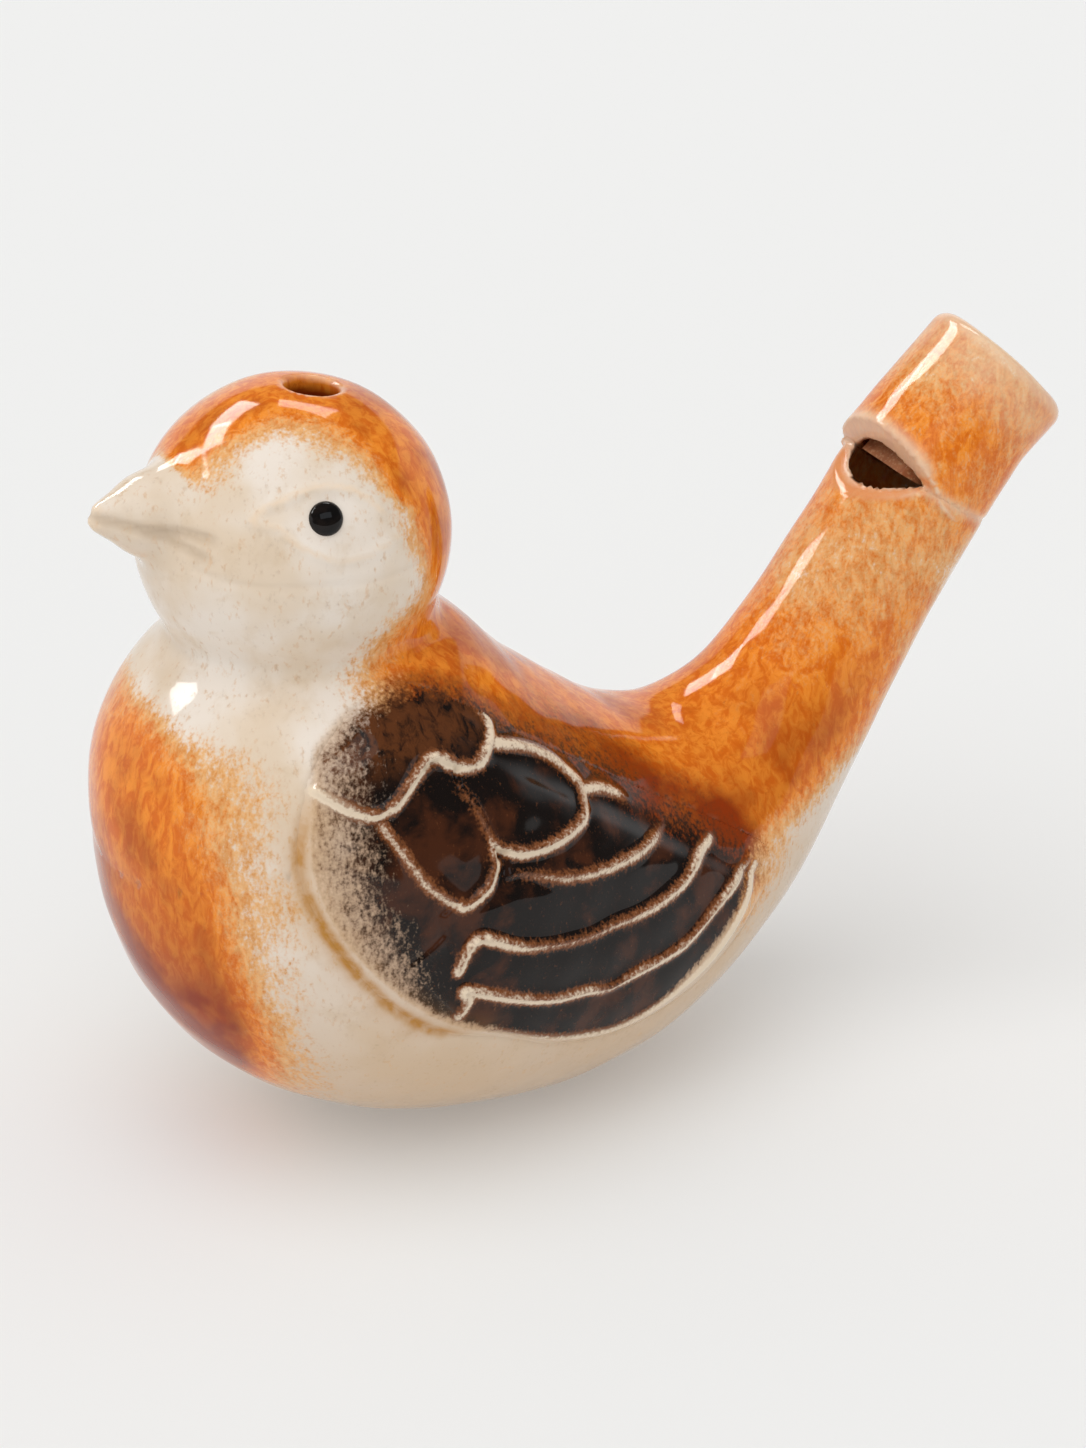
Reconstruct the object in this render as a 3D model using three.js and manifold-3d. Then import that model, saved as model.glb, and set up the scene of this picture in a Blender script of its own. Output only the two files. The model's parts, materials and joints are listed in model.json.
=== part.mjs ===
// Ceramic bird whistle that is blown with water in its belly.
// The bird looks along -X, its left flank faces -Y and it stands on a small flat at z = 0.
// The two hollow half shells meet face to face on the seam plane y = 0.
import * as THREE from 'three';
import { mergeVertices } from 'three/addons/utils/BufferGeometryUtils.js';
import Module from 'manifold-3d';

const wasm = await Module();
wasm.setup();

// Driving sizes, in millimetres and degrees

// Joints: the thickness of the slip between two pieces that are stuck together
const slipGap = 0.3;

// Body: balls strung on a path from the breast to the tail end, each with its own radius
const breastRadius = 18.7;
const chestRadius = 21.0;
const bellyRadius = 17.6;
const rumpRadius = 12.6;
const tailRootRadius = 8.7;
const tailRadius = 7.2;
const tailEndRadius = 7.05;
const bodyWidthRatio = 0.96;
const bodyWall = 2.5;
const tailWall = 1.5;
const breastPlace = { x: -16.8, z: 31.5 };
const chestPlace = { x: -11.8, z: 23.2 };
const bellyPlace = { x: 2.8, z: 17.0 };
const rumpPlace = { x: 16.1, z: 18.5 };
const tailRootPlace = { x: 26.2, z: 25.6 };
const tailPlace = { x: 34.6, z: 37.0 };
const tailEndPlace = { x: 41.2, z: 46.4 };

// Head and beak
const headRadius = 12.8;
const headPlace = { x: -18.0, z: 54.6 };
const neckBlend = 3.0;
const beakLength = 9.1;
const beakRootRadius = 6.0;
const beakTipRadius = 1.7;
const beakWidthRatio = 0.9;
const beakRootOffset = { x: -7.0, z: 2.85 };
const beakRise = 12;

// Filling hole in the crown, with a rounded mouth
const fillingHoleRadius = 2.2;
const fillingHoleFlare = 0.5;
const fillingHoleOffset = 2.0;

// Eyes: glaze beads set in shallow sockets
const eyeRadius = 1.3;
const eyeProud = 0.55;
const eyeTurn = 79;
const eyeLift = 27.5;

// Mouthpiece: a tube that leaves the tail end at a flatter angle
const mouthpieceRadius = 6.9;
const mouthpieceBoreRadius = 4.6;
const mouthpieceLength = 13.3;
const mouthpieceRim = 1.2;
const mouthpieceAngle = 42.2;
const mouthpieceOffset = 1.4;

// Windway: the flat passage over the block
const windwayHeight = 1.7;

// Window: a notch across the top of the tail, just below the mouthpiece
const windowRampLength = 4.9;
const windowRampAngle = 30;
const windowLipReach = 1.9;

// Wings: a backing plate with feather plates on it, let into a shallow seat in the flank
const wingSeatDepth = 0.8;
const wingThickness = 0.75;
const featherStep = 0.07;
const featherBedding = 0.25;
const featherCrown = 0.15;

// Outlines on the flank, as [x, z] points seen from the side
const wingOutline = [
  [-19.5, 44.3], [-14.5, 45.0], [-9.5, 42.6], [-4.5, 38.6], [1.5, 34.2], [8.5, 29.2],
  [15.0, 25.2], [20.6, 20.4], [19.0, 15.8], [14.5, 12.3], [9.0, 10.4], [3.0, 10.0],
  [-3.5, 11.6], [-9.0, 14.4], [-15.0, 17.0], [-20.5, 22.0], [-24.5, 28.6], [-25.6, 34.3], [-23.5, 40.5],
];
const featherOutlines = [
  [[-11.0, 26.0], [-2.0, 24.0], [9.0, 22.0], [19.0, 19.6], [15.5, 15.2], [8.0, 12.4], [1.0, 11.6],
    [-4.6, 13.2], [-10.0, 16.1], [-13.4, 18.4], [-13.2, 23.0]],
  [[-10.5, 28.0], [-1.0, 26.5], [8.5, 24.5], [18.2, 20.9], [13.1, 18.4], [9.4, 16.9], [4.4, 16.4],
    [-1.1, 16.8], [-7.8, 18.5], [-13.0, 20.6], [-13.0, 25.0]],
  [[-8.0, 30.5], [0.0, 29.5], [8.0, 28.0], [14.6, 24.3], [9.8, 22.0], [3.9, 21.5], [-1.2, 21.9],
    [-8.0, 23.5], [-12.6, 24.8], [-11.5, 28.5]],
  [[-5.0, 33.5], [2.0, 32.5], [6.6, 30.2], [9.8, 27.0], [5.5, 26.2], [0.5, 26.7], [-3.4, 27.7],
    [-8.6, 29.4], [-8.5, 32.0]],
  [[-15.5, 38.0], [-11.2, 37.6], [-9.8, 33.4], [-9.6, 30.8], [-11.4, 28.7], [-13.6, 27.8],
    [-16.2, 31.2], [-18.8, 35.4]],
  [[-10.2, 38.6], [-6.0, 38.9], [-1.7, 36.3], [0.9, 33.0], [0.2, 30.9], [-4.5, 30.3], [-9.2, 32.1],
    [-10.9, 35.6]],
  [[-19.0, 43.8], [-14.2, 44.4], [-9.6, 42.0], [-7.0, 39.1], [-10.4, 38.3], [-13.8, 39.9],
    [-17.0, 37.6], [-20.4, 37.0], [-23.4, 39.3], [-22.2, 42.4]],
];

// Fineness of the meshes
const ballsPerSpan = 9;
const capRings = 7;
const pathSections = 36;
const pointsAround = 36;
const beakSides = 28;
const holeSides = 28;
const mouthpieceSides = 40;
const blockSides = 36;
const backingPoints = 48;
const backingRings = 7;
const featherPoints = 26;
const featherRings = 3;
const marchStep = 0.5;
const bisections = 22;

// Half the size of a block that reaches past the whole bird
const far = 200;

const degrees = THREE.MathUtils.degToRad;

function inPlane(x, z) {
  return new THREE.Vector3(x, 0, z);
}

// Solids and meshes: a closed mesh becomes a solid for joining and cutting, and comes back as a mesh

function solidOf(geometry) {
  const bare = geometry.clone();
  bare.deleteAttribute('normal');
  bare.deleteAttribute('uv');
  const merged = mergeVertices(bare, 1e-4);
  return new wasm.Manifold(new wasm.Mesh({
    numProp: 3,
    vertProperties: Float32Array.from(merged.attributes.position.array),
    triVerts: Uint32Array.from(merged.index.array),
  }));
}

function geometryOf(solid) {
  const mesh = solid.getMesh();
  const geometry = new THREE.BufferGeometry();
  geometry.setAttribute('position', new THREE.BufferAttribute(Float32Array.from(mesh.vertProperties), 3));
  geometry.setIndex(new THREE.BufferAttribute(Uint32Array.from(mesh.triVerts), 1));
  geometry.computeVertexNormals();
  return geometry;
}

function closedGeometry(points, faces) {
  const geometry = new THREE.BufferGeometry().setFromPoints(points);
  geometry.setIndex(faces.flat());
  return geometry;
}

// A block of clay or air: the box between two corners, used to cut and to split
function blockSolid(low, high) {
  const size = new THREE.Vector3().subVectors(high, low);
  const block = new THREE.BoxGeometry(size.x, size.y, size.z);
  block.translate((low.x + high.x) / 2, (low.y + high.y) / 2, (low.z + high.z) / 2);
  return solidOf(block);
}

// The form of the body is a gap function: how far a point lies outside the clay or outside the hollow

const bodyPath = [
  { ...breastPlace, radius: breastRadius, wall: bodyWall },
  { ...chestPlace, radius: chestRadius, wall: bodyWall },
  { ...bellyPlace, radius: bellyRadius, wall: bodyWall },
  { ...rumpPlace, radius: rumpRadius, wall: bodyWall },
  { ...tailRootPlace, radius: tailRootRadius, wall: bodyWall },
  { ...tailPlace, radius: tailRadius, wall: tailWall },
  { ...tailEndPlace, radius: tailEndRadius, wall: tailWall },
];

function ballsAlong(path, radiusOf) {
  const curve = new THREE.CatmullRomCurve3(
    path.map((ball) => new THREE.Vector3(ball.x, radiusOf(ball), ball.z)), false, 'catmullrom');
  return curve.getPoints(ballsPerSpan * (path.length - 1)).map((p) => ({ x: p.x, z: p.z, radius: p.y }));
}

function gapToBalls(point, balls, widthRatio) {
  let nearest = Infinity;
  for (const ball of balls) {
    const distance = Math.hypot(point.x - ball.x, point.z - ball.z, point.y / widthRatio);
    nearest = Math.min(nearest, distance - ball.radius);
  }
  return nearest;
}

function softMinimum(a, b, blend) {
  const share = THREE.MathUtils.clamp(0.5 + 0.5 * (b - a) / blend, 0, 1);
  return b * (1 - share) + a * share - blend * share * (1 - share);
}

function formGap(bodyBalls, headBalls) {
  return (point) => softMinimum(
    gapToBalls(point, bodyBalls, bodyWidthRatio), gapToBalls(point, headBalls, 1), neckBlend);
}

const clayGap = formGap(
  ballsAlong(bodyPath, (ball) => ball.radius),
  [{ ...headPlace, radius: headRadius }]);
const hollowGap = formGap(
  ballsAlong(bodyPath, (ball) => ball.radius - ball.wall),
  [{ ...headPlace, radius: headRadius - bodyWall }]);

// Distance along a ray that starts inside a form to where it leaves it
function reach(gapAt, origin, direction) {
  const point = new THREE.Vector3();
  const gapAlong = (distance) => gapAt(point.copy(direction).multiplyScalar(distance).add(origin));
  let outside = marchStep;
  while (gapAlong(outside) < 0) outside += marchStep;
  let inside = outside - marchStep;
  for (let i = 0; i < bisections; i++) {
    const middle = (inside + outside) / 2;
    if (gapAlong(middle) < 0) inside = middle;
    else outside = middle;
  }
  return outside;
}

// The spine runs from the middle of the head through the belly to the tail end
const spine = new THREE.CatmullRomCurve3(
  [inPlane(headPlace.x, headPlace.z), ...bodyPath.map((ball) => inPlane(ball.x, ball.z))],
  false, 'catmullrom');

// Sections turn at a steady rate along it, so that they fan out round the breast and never cross at the
// nape. inward points from the spine to the back, along points down the spine, square to the section.
const turnStart = 0.08;
const turnEnd = 0.84;
const tailTangent = spine.getTangentAt(1);
const fullTurn = Math.atan2(tailTangent.x, -tailTangent.z);

function spineFrame(share) {
  const turn = fullTurn * THREE.MathUtils.clamp((share - turnStart) / (turnEnd - turnStart), 0, 1);
  return {
    centre: spine.getPointAt(share),
    inward: inPlane(Math.cos(turn), Math.sin(turn)),
    along: inPlane(Math.sin(turn), -Math.cos(turn)),
  };
}

// Sections fan out round the breast, so they are spaced by equal steps along a line outside the spine
function sectionFrames(count) {
  const fine = 12 * count;
  const outerPoints = [];
  for (let i = 0; i <= fine; i++) {
    const frame = spineFrame(i / fine);
    outerPoints.push(frame.centre.addScaledVector(frame.inward, -tailRadius - bellyRadius / 2));
  }
  const outerLine = new THREE.CatmullRomCurve3(outerPoints);
  outerLine.arcLengthDivisions = 10 * fine;
  const frames = [];
  for (let i = 0; i <= count; i++) {
    frames.push(spineFrame(outerLine.getUtoTmapping(i / count)));
  }
  return frames;
}

// A closed skin: rings of points found along rays, from a pole on the crown to a flat end on the tail.
// overrun carries the last ring past the tail end, so that a hollow is open there.
function skinSolid(gapAt, overrun) {
  const head = spineFrame(0);
  const rings = [];
  for (let i = 1; i < capRings; i++) {
    rings.push({ ...head, lean: Math.PI / 2 * (1 - i / capRings) });
  }
  for (const frame of sectionFrames(pathSections)) {
    rings.push({ ...frame, lean: 0 });
  }
  const last = rings[rings.length - 1];
  if (overrun > 0) {
    rings.push({ ...last, centre: last.centre.clone().addScaledVector(last.along, overrun) });
  }
  const crown = head.along.clone().negate();
  const points = [crown.clone().multiplyScalar(reach(gapAt, head.centre, crown)).add(head.centre)];
  for (const ring of rings) {
    for (let k = 0; k < pointsAround; k++) {
      const turn = 2 * Math.PI * k / pointsAround;
      const sideways = (2 * k) % pointsAround === 0 ? 0 : Math.sin(turn);
      const direction = ring.inward.clone().multiplyScalar(Math.cos(turn) * Math.cos(ring.lean))
        .addScaledVector(ring.along, -Math.sin(ring.lean));
      direction.y = sideways * Math.cos(ring.lean);
      points.push(direction.clone().multiplyScalar(reach(gapAt, ring.centre, direction)).add(ring.centre));
    }
  }
  const end = points.push(rings[rings.length - 1].centre.clone()) - 1;
  const at = (ring, k) => 1 + ring * pointsAround + k % pointsAround;
  const faces = [];
  for (let k = 0; k < pointsAround; k++) {
    faces.push([0, at(0, k), at(0, k + 1)]);
    for (let ring = 0; ring + 1 < rings.length; ring++) {
      faces.push([at(ring, k), at(ring + 1, k + 1), at(ring, k + 1)]);
      faces.push([at(ring, k), at(ring + 1, k), at(ring + 1, k + 1)]);
    }
    faces.push([end, at(rings.length - 1, k + 1), at(rings.length - 1, k)]);
  }
  return solidOf(closedGeometry(points, faces));
}

// The tail end's own frame: X up across the tail, Y sideways, Z out of the tail
const tailFrame = spineFrame(1);
const tailEndTurn = Math.atan2(tailFrame.along.x, tailFrame.along.z);

function placedAtTailEnd(geometry) {
  geometry.rotateY(tailEndTurn);
  return geometry.translate(tailEndPlace.x, 0, tailEndPlace.z);
}

// The beak is turned about its own axis: a cone with a round tip, a little narrower than it is high
function beakSolid() {
  const coneSlope = Math.asin((beakRootRadius - beakTipRadius) / beakLength);
  const profile = [new THREE.Vector2(0, 0), new THREE.Vector2(beakRootRadius * Math.cos(coneSlope), 0)];
  const tipArcSteps = 5;
  for (let i = 0; i <= tipArcSteps; i++) {
    const turn = coneSlope + (Math.PI / 2 - coneSlope) * i / tipArcSteps;
    const radius = i === tipArcSteps ? 0 : beakTipRadius * Math.cos(turn);
    profile.push(new THREE.Vector2(radius, beakLength + beakTipRadius * Math.sin(turn)));
  }
  const beak = new THREE.LatheGeometry(profile, beakSides);
  beak.scale(1, 1, beakWidthRatio);
  beak.rotateZ(degrees(90 - beakRise));
  beak.rotateX(Math.PI / 2);
  beak.translate(headPlace.x + beakRootOffset.x, 0, headPlace.z + beakRootOffset.z);
  return solidOf(beak);
}

function fillingHoleSolid() {
  const x = fillingHoleOffset;
  const crownHeight = headPlace.z + Math.sqrt(headRadius ** 2 - x ** 2);
  const flared = fillingHoleRadius + fillingHoleFlare;
  const profile = [
    new THREE.Vector2(0, headPlace.z),
    new THREE.Vector2(fillingHoleRadius, headPlace.z),
    new THREE.Vector2(fillingHoleRadius, crownHeight - 2 * fillingHoleFlare),
    new THREE.Vector2(flared, crownHeight),
    new THREE.Vector2(flared, crownHeight + bodyWall),
    new THREE.Vector2(0, crownHeight + bodyWall),
  ];
  const hole = new THREE.LatheGeometry(profile, holeSides);
  hole.rotateX(Math.PI / 2);
  hole.scale(1, -1, 1);
  hole.index.array.reverse();
  hole.translate(headPlace.x + x, 0, 0);
  return solidOf(hole);
}

// The window's notch: a ramp that climbs away from the mouthpiece and a short leaning face under its lip
function windowSolid() {
  const wide = 2 * (mouthpieceRadius + mouthpieceOffset);
  const above = 3 * tailEndRadius;
  const rampFall = windowRampLength * Math.tan(degrees(windowRampAngle));
  const rampRise = (above - tailEndRadius) / Math.tan(degrees(windowRampAngle));
  const lipLean = windowLipReach / rampFall;
  const outline = new THREE.Shape([
    new THREE.Vector2(0, tailEndRadius - rampFall),
    new THREE.Vector2(lipLean * (above - tailEndRadius + rampFall), above),
    new THREE.Vector2(-windowRampLength - rampRise, above),
  ]);
  const notch = new THREE.ExtrudeGeometry(outline, { depth: wide, bevelEnabled: false });
  notch.translate(0, 0, -wide / 2);
  notch.rotateX(Math.PI / 2);
  notch.rotateY(tailEndTurn - Math.PI / 2);
  notch.translate(tailEndPlace.x, 0, tailEndPlace.z);
  return solidOf(notch);
}

// Eyes

const eyeDirection = new THREE.Vector3(
  -Math.cos(degrees(eyeLift)) * Math.cos(degrees(eyeTurn)),
  -Math.cos(degrees(eyeLift)) * Math.sin(degrees(eyeTurn)),
  Math.sin(degrees(eyeLift)));
const eyeCentre = eyeDirection.clone().multiplyScalar(headRadius + eyeProud - eyeRadius)
  .add(inPlane(headPlace.x, headPlace.z));

function eyeBall(radius) {
  const ball = new THREE.SphereGeometry(radius, 20, 12);
  return ball.translate(eyeCentre.x, eyeCentre.y, eyeCentre.z);
}

function mirrored(geometry) {
  const other = geometry.clone().scale(1, -1, 1);
  other.index.array.reverse();
  other.computeVertexNormals();
  return other;
}

// Body halves: one hollow form, cut flat under the belly, pierced, and split on the seam

function bodySolid() {
  const underFloor = blockSolid(new THREE.Vector3(-far, -far, -far), new THREE.Vector3(far, far, 0));
  const socket = eyeBall(eyeRadius + slipGap);
  const wingSeat = wingSeatSolid();
  return skinSolid(clayGap, 0)
    .add(beakSolid())
    .subtract(skinSolid(hollowGap, tailWall))
    .subtract(fillingHoleSolid())
    .subtract(windowSolid())
    .subtract(solidOf(socket))
    .subtract(solidOf(mirrored(socket)))
    .subtract(wingSeat)
    .subtract(solidOf(mirrored(geometryOf(wingSeat))))
    .subtract(underFloor);
}

function halfOf(body, side) {
  const low = new THREE.Vector3(-far, side < 0 ? -far : 0, -far);
  const high = new THREE.Vector3(far, side < 0 ? 0 : far, far);
  return geometryOf(body.intersect(blockSolid(low, high)));
}

// Mouthpiece and block: both are turned about the mouthpiece's axis and cut off square to the tail

const mouthpieceAxis = inPlane(Math.cos(degrees(mouthpieceAngle)), Math.sin(degrees(mouthpieceAngle)));
const mouthpieceStart = inPlane(tailEndPlace.x, tailEndPlace.z)
  .addScaledVector(tailFrame.inward, mouthpieceOffset);

function turnedOnMouthpieceAxis(profile, around) {
  const piece = new THREE.LatheGeometry(profile.map(([r, h]) => new THREE.Vector2(r, h)), around);
  piece.rotateZ(degrees(mouthpieceAngle - 90));
  piece.rotateX(Math.PI / 2);
  return piece.translate(mouthpieceStart.x, 0, mouthpieceStart.z);
}

// Everything on the tail's side of the joint, and the slip in it
function belowJointSolid() {
  const block = new THREE.BoxGeometry(far, far, far);
  block.translate(0, 0, slipGap - far / 2);
  return solidOf(placedAtTailEnd(block));
}

function mouthpieceSolid() {
  const overlap = mouthpieceRadius;
  const rimSteps = 5;
  const profile = [[mouthpieceBoreRadius, -overlap], [mouthpieceRadius, -overlap]];
  for (let i = 0; i <= rimSteps; i++) {
    const turn = Math.PI / 2 * i / rimSteps;
    profile.push([
      mouthpieceRadius - mouthpieceRim * (1 - Math.cos(turn)),
      mouthpieceLength - mouthpieceRim * (1 - Math.sin(turn)),
    ]);
  }
  profile.push([mouthpieceBoreRadius, mouthpieceLength], [mouthpieceBoreRadius, -overlap]);
  return solidOf(turnedOnMouthpieceAxis(profile, mouthpieceSides))
    .subtract(belowJointSolid())
    .subtract(windowSolid());
}

function windwayBlockSolid() {
  const overlap = mouthpieceRadius;
  const radius = mouthpieceBoreRadius - slipGap;
  const profile = [[0, -overlap], [radius, -overlap], [radius, mouthpieceLength], [0, mouthpieceLength]];
  const passageFloor = mouthpieceBoreRadius - windwayHeight;
  const passage = new THREE.BoxGeometry(4 * mouthpieceLength, 4 * radius, 2 * windwayHeight);
  passage.translate(0, 0, passageFloor + windwayHeight);
  passage.rotateY(-degrees(mouthpieceAngle));
  passage.translate(mouthpieceStart.x, 0, mouthpieceStart.z);
  return solidOf(turnedOnMouthpieceAxis(profile, blockSides))
    .subtract(belowJointSolid())
    .subtract(solidOf(passage));
}

// Wings: plates that follow the flank, stacked so that each feather overlaps the one below it

// A point on the left flank, lifted off the clay by a given amount
function flankPoint(x, z, lift) {
  let inside = 0;
  let outside = chestRadius + breastRadius;
  const point = inPlane(x, z);
  for (let i = 0; i < bisections; i++) {
    point.y = -(inside + outside) / 2;
    if (clayGap(point) < lift) inside = -point.y;
    else outside = -point.y;
  }
  return point;
}

// A plate between two lifts off the clay; its edge can be set outward from the drawn outline
function plateSolid(outline, bottom, top, pointsRound, ringCount, outward = 0) {
  const drawn = new THREE.CatmullRomCurve3(outline.map(([x, z]) => inPlane(x, z)), true, 'centripetal')
    .getSpacedPoints(pointsRound).slice(0, pointsRound);
  const edge = drawn.map((p, k) => {
    const along = drawn[(k + 1) % pointsRound].clone().sub(drawn.at(k - 1)).normalize();
    return p.clone().add(inPlane(-along.z, along.x).multiplyScalar(outward));
  });
  const middle = edge.reduce((sum, p) => sum.add(p), inPlane(0, 0)).divideScalar(pointsRound);
  const points = [];
  for (const upper of [true, false]) {
    for (let ring = ringCount; ring >= 1; ring--) {
      const share = ring / ringCount;
      for (const p of edge) {
        const x = THREE.MathUtils.lerp(middle.x, p.x, share);
        const z = THREE.MathUtils.lerp(middle.z, p.z, share);
        points.push(flankPoint(x, z, upper ? top - featherCrown * share ** 4 : bottom));
      }
    }
    points.push(flankPoint(middle.x, middle.z, upper ? top : bottom));
  }
  const layer = ringCount * pointsRound + 1;
  const faces = [];
  const at = (layerIndex, ring, k) => layerIndex * layer + ring * pointsRound + k % pointsRound;
  for (let k = 0; k < pointsRound; k++) {
    for (const side of [0, 1]) {
      const face = (a, b, c) => faces.push(side ? [a, b, c] : [a, c, b]);
      for (let ring = 0; ring + 1 < ringCount; ring++) {
        face(at(side, ring, k), at(side, ring, k + 1), at(side, ring + 1, k + 1));
        face(at(side, ring, k), at(side, ring + 1, k + 1), at(side, ring + 1, k));
      }
      face(at(side, ringCount - 1, k), at(side, ringCount - 1, k + 1), side * layer + layer - 1);
    }
    faces.push([at(0, 0, k + 1), at(1, 0, k), at(0, 0, k)]);
    faces.push([at(0, 0, k + 1), at(1, 0, k + 1), at(1, 0, k)]);
  }
  return solidOf(closedGeometry(points, faces));
}

function wingSeatSolid() {
  return plateSolid(
    wingOutline, -wingSeatDepth, 2 * wingThickness, backingPoints, backingRings, slipGap);
}

function wingSolid() {
  const bottom = slipGap - wingSeatDepth;
  const backing = plateSolid(
    wingOutline, bottom, bottom + wingThickness, backingPoints, backingRings);
  return featherOutlines.reduce((wing, outline, i) => {
    const top = bottom + wingThickness + featherStep * (i + 1);
    return wing.add(
      plateSolid(outline, bottom + featherBedding, top, featherPoints, featherRings));
  }, backing);
}

// Finishes: glazed earthenware in the bird's colours
const orangeGlaze = new THREE.MeshStandardMaterial({ color: 0xc8803f, roughness: 0.14, metalness: 0 });
const creamGlaze = new THREE.MeshStandardMaterial({ color: 0xdcc4a8, roughness: 0.14, metalness: 0 });
const wingGlaze = new THREE.MeshStandardMaterial({ color: 0x3a2a22, roughness: 0.12, metalness: 0 });
const mouthpieceGlaze = new THREE.MeshStandardMaterial({ color: 0xcf8d54, roughness: 0.14, metalness: 0 });
const bareClay = new THREE.MeshStandardMaterial({ color: 0xc9a27c, roughness: 0.7, metalness: 0 });
const eyeGlaze = new THREE.MeshStandardMaterial({ color: 0x14110f, roughness: 0.08, metalness: 0 });

const whistle = new THREE.Group();

function addPiece(name, geometry, material) {
  const piece = new THREE.Mesh(geometry, material.clone());
  piece.name = name;
  whistle.add(piece);
}

const body = bodySolid();
const wing = geometryOf(wingSolid());
const eye = eyeBall(eyeRadius);

addPiece('body_left_half', halfOf(body, -1), orangeGlaze);
addPiece('body_right_half', halfOf(body, 1), creamGlaze);
addPiece('wing_left', wing, wingGlaze);
addPiece('wing_right', mirrored(wing), wingGlaze);
addPiece('mouthpiece', geometryOf(mouthpieceSolid()), mouthpieceGlaze);
addPiece('windway_block', geometryOf(windwayBlockSolid()), bareClay);
addPiece('eye_left', eye, eyeGlaze);
addPiece('eye_right', mirrored(eye), eyeGlaze);

export default whistle;
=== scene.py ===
import json
import math

import bpy
import numpy as np
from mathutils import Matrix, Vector

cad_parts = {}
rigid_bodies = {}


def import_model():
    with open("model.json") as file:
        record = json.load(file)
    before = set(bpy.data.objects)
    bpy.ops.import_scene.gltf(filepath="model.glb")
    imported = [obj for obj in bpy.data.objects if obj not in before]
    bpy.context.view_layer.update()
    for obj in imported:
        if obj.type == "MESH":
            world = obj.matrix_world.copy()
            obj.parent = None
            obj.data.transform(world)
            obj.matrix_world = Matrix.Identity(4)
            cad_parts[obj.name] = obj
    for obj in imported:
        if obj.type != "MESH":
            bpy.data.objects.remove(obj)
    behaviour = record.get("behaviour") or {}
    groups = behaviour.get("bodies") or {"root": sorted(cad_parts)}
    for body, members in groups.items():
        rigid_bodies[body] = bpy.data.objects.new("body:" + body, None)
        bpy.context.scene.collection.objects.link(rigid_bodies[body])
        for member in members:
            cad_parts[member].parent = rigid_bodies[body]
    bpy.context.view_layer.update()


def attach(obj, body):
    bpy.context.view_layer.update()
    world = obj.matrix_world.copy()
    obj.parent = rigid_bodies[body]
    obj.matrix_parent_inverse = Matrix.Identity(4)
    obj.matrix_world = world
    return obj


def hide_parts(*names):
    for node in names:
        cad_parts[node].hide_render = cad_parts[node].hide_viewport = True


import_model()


# Camera
# The photograph's view: from the bird's left, a little in front and above, through a long lens.
def toward(turn, height):
    """The direction from the bird at a turn and a height in degrees."""
    turn, height = math.radians(turn), math.radians(height)
    return Vector((
        math.sin(turn) * math.cos(height), -math.cos(turn) * math.cos(height), math.sin(height)))


def new_object(name, data):
    """An object that shows the data in the scene."""
    made = bpy.data.objects.new(name, data)
    bpy.context.scene.collection.objects.link(made)
    return made


def aim(thing, backward):
    """Turns a camera or lamp so that its back points this way."""
    thing.rotation_mode = "QUATERNION"
    thing.rotation_quaternion = backward.to_track_quat("Z", "Y")


view_back = toward(-28, 27)
view_distance = 0.382
view_centre = Vector((0.0048, 0, 0.0316))
sensor_width = 36
focal_share = 4500 / 1448  # focal length over the photo's height, in pixels
camera = new_object("photo_camera", bpy.data.cameras.new("photo_camera"))
camera.location = view_centre + view_back * view_distance
aim(camera, view_back)
camera.data.sensor_width = sensor_width
camera.data.lens = focal_share * sensor_width
camera.data.clip_start = 0.01
camera.data.clip_end = 20
bpy.context.scene.camera = camera
bpy.context.scene.view_settings.view_transform = "Standard"


# Studio table and light
# A white table top that runs out of sight in an even white room, under one broad, soft sun.
# Soft boxes show only in the gloss glaze, as white strips on the crown, breast, tail and tube.
class Value:
    """One output socket of a node. Sums, products and powers of it add Math nodes to its tree."""

    def __init__(self, nodes, socket):
        self.nodes = nodes
        self.socket = socket

    def math(self, operation, first, second=0.0):
        return self.nodes.add("ShaderNodeMath", {"operation": operation}, {0: first, 1: second})

    def __add__(self, other):
        return self.math("ADD", self, other)

    def __sub__(self, other):
        return self.math("SUBTRACT", self, other)

    def __mul__(self, other):
        return self.math("MULTIPLY", self, other)

    def __truediv__(self, other):
        return self.math("DIVIDE", self, other)

    def __pow__(self, other):
        return self.math("POWER", self, other)

    def __rsub__(self, other):
        return self.math("SUBTRACT", other, self)

    __radd__ = __add__
    __rmul__ = __mul__

    def exp(self):
        return self.math("EXPONENT", self)

    def rise(self, start, end):
        """0 below start, 1 above end and a smooth rise between them."""
        return self.nodes.add(
            "ShaderNodeMapRange",
            {"interpolation_type": "SMOOTHSTEP"},
            {"Value": self, "From Min": start, "From Max": end})


class Nodes:
    """A node tree that is written one node at a time."""

    def __init__(self, tree):
        self.tree = tree

    def add(self, kind, settings, sockets, output=0):
        """Adds a node and returns one of its outputs."""
        node = self.tree.nodes.new(kind)
        for name, value in settings.items():
            setattr(node, name, value)
        for key, value in sockets.items():
            if isinstance(value, Value):
                self.tree.links.new(value.socket, node.inputs[key])
            else:
                node.inputs[key].default_value = value
        return Value(self, node.outputs[output]) if node.outputs else None

    def blend(self, share, first, second):
        """A colour that runs from the first to the second as share goes from 0 to 1."""
        return self.add(
            "ShaderNodeMix", {"data_type": "RGBA"}, {0: share, 6: first, 7: second}, output=2)

    def surface(self, sockets):
        """Ends a material in one Principled shader with these inputs."""
        shader = self.add("ShaderNodeBsdfPrincipled", {}, sockets)
        self.add("ShaderNodeOutputMaterial", {}, {"Surface": shader})


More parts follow.
